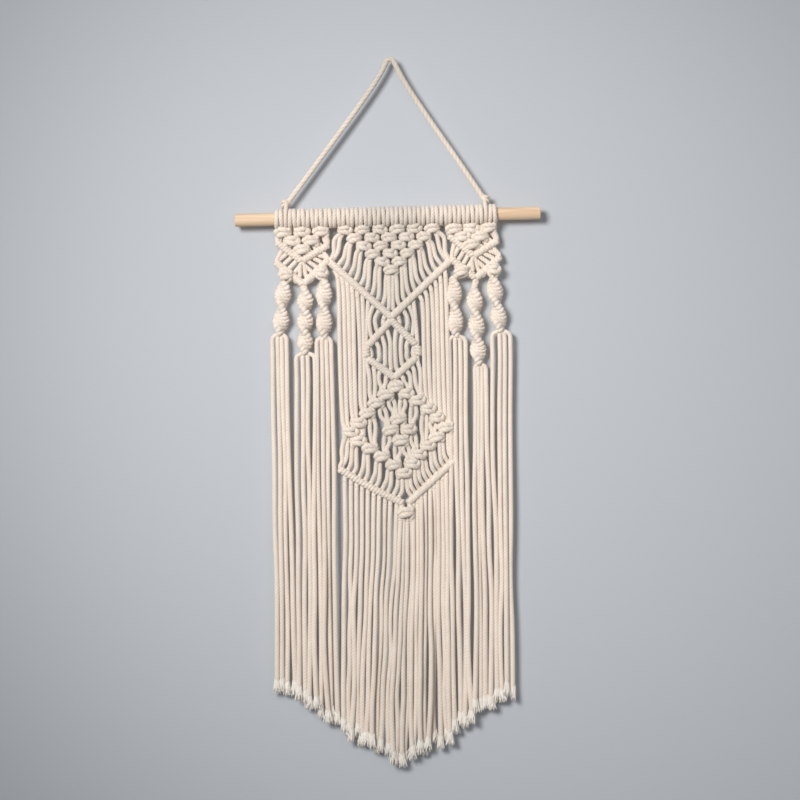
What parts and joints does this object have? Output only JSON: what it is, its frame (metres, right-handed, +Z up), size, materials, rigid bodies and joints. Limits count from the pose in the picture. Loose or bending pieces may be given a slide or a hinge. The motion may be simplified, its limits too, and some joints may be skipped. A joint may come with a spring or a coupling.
{
  "type": "tapestry wall hanging",
  "caption": "Macrame wall hanging: wooden dowel on a cord hanger, knotted cotton cords forming chevrons, a hexagon and a diamond, spiral side sinnets and a long pointed fringe.",
  "frame": {"origin": "underside of the hanger cord's top bend, where it rests on its hook", "axes": "+X along the dowel to the right as seen from the front, +Y from the front towards the wall, +Z up"},
  "size_m": [0.305, 0.0196, 0.7054],
  "materials": {
    "pale_wood": "bare sanded dowel",
    "hanger_cotton": "twisted natural cotton cord",
    "cotton_cord": "soft natural cotton cord with loose ply"
  },
  "bodies": {
    "hanger": {"hanger_cord": "hanger_cotton", "hanger_knot_left": "hanger_cotton", "hanger_knot_right": "hanger_cotton"},
    "rod": {"dowel": "pale_wood"},
    "panel": {"larks_heads_left": "cotton_cord", "larks_heads_centre": "cotton_cord", "larks_heads_right": "cotton_cord", "square_knots_left": "cotton_cord", "square_knots_centre": "cotton_cord", "square_knots_right": "cotton_cord", "upper_chevron_left": "cotton_cord", "lower_chevron_left": "cotton_cord", "upper_chevron_right": "cotton_cord", "lower_chevron_right": "cotton_cord", "long_chevron": "cotton_cord", "hexagon_top": "cotton_cord", "hexagon_bottom": "cotton_cord", "hexagon_knot_left": "cotton_cord", "hexagon_knot_right": "cotton_cord", "diamond_knots": "cotton_cord", "inner_diamond_knots": "cotton_cord", "bottom_chevron": "cotton_cord", "tip_knot": "cotton_cord", "drop_cords_left": "cotton_cord", "drop_cords_right": "cotton_cord", "drop_cords_upper": "cotton_cord", "drop_cords_middle": "cotton_cord", "hexagon_cords": "cotton_cord", "diamond_cords": "cotton_cord", "drop_cords_lower": "cotton_cord"},
    "sinnet_1": {"spiral_sinnet_1": "cotton_cord"},
    "tassel_1": {"fringe_1": "cotton_cord"},
    "sinnet_2": {"spiral_sinnet_2": "cotton_cord"},
    "tassel_2": {"fringe_2": "cotton_cord"},
    "sinnet_3": {"spiral_sinnet_3": "cotton_cord"},
    "tassel_3": {"fringe_3": "cotton_cord"},
    "sinnet_4": {"spiral_sinnet_4": "cotton_cord"},
    "tassel_4": {"fringe_4": "cotton_cord"},
    "sinnet_5": {"spiral_sinnet_5": "cotton_cord"},
    "tassel_5": {"fringe_5": "cotton_cord"},
    "sinnet_6": {"spiral_sinnet_6": "cotton_cord"},
    "tassel_6": {"fringe_6": "cotton_cord"},
    "centre_tassel": {"centre_fringe": "cotton_cord"}
  },
  "joints": [
    {"name": "panel_swing", "type": "hinge", "parent": "hanger", "child": "panel", "pos_m": [-0.006, 0, -0.154], "axis": [-1, 0, 0], "range_deg": [0, 90]},
    {"name": "dowel_slide", "type": "slide", "parent": "panel", "child": "rod", "axis": [1, 0, 0], "range_m": [-0.035, 0.035]},
    {"name": "sinnet_1_swing", "type": "hinge", "parent": "panel", "child": "sinnet_1", "pos_m": [-0.1115, 0, -0.2175], "axis": [-1, 0, 0], "range_deg": [0, 45]},
    {"name": "fringe_1_swing", "type": "hinge", "parent": "sinnet_1", "child": "tassel_1", "pos_m": [-0.1165, 0, -0.268], "axis": [-1, 0, 0], "range_deg": [0, 60]},
    {"name": "sinnet_2_swing", "type": "hinge", "parent": "panel", "child": "sinnet_2", "pos_m": [-0.0905, 0, -0.2275], "axis": [-1, 0, 0], "range_deg": [0, 45]},
    {"name": "fringe_2_swing", "type": "hinge", "parent": "sinnet_2", "child": "tassel_2", "pos_m": [-0.0923, 0, -0.2875], "axis": [-1, 0, 0], "range_deg": [0, 60]},
    {"name": "sinnet_3_swing", "type": "hinge", "parent": "panel", "child": "sinnet_3", "pos_m": [-0.0714, 0, -0.2175], "axis": [-1, 0, 0], "range_deg": [0, 45]},
    {"name": "fringe_3_swing", "type": "hinge", "parent": "sinnet_3", "child": "tassel_3", "pos_m": [-0.0727, 0, -0.272], "axis": [-1, 0, 0], "range_deg": [0, 60]},
    {"name": "sinnet_4_swing", "type": "hinge", "parent": "panel", "child": "sinnet_4", "pos_m": [0.0576, 0, -0.219], "axis": [-1, 0, 0], "range_deg": [0, 45]},
    {"name": "fringe_4_swing", "type": "hinge", "parent": "sinnet_4", "child": "tassel_4", "pos_m": [0.0593, 0, -0.274], "axis": [-1, 0, 0], "range_deg": [0, 60]},
    {"name": "sinnet_5_swing", "type": "hinge", "parent": "panel", "child": "sinnet_5", "pos_m": [0.0784, 0, -0.23], "axis": [-1, 0, 0], "range_deg": [0, 45]},
    {"name": "fringe_5_swing", "type": "hinge", "parent": "sinnet_5", "child": "tassel_5", "pos_m": [0.0817, 0, -0.3025], "axis": [-1, 0, 0], "range_deg": [0, 60]},
    {"name": "sinnet_6_swing", "type": "hinge", "parent": "panel", "child": "sinnet_6", "pos_m": [0.0977, 0, -0.2195], "axis": [-1, 0, 0], "range_deg": [0, 45]},
    {"name": "fringe_6_swing", "type": "hinge", "parent": "sinnet_6", "child": "tassel_6", "pos_m": [0.1039, 0, -0.27], "axis": [-1, 0, 0], "range_deg": [0, 60]},
    {"name": "centre_fringe_swing", "type": "hinge", "parent": "panel", "child": "centre_tassel", "pos_m": [-0.006, 0, -0.43], "axis": [-1, 0, 0], "range_deg": [0, 20]}
  ]
}
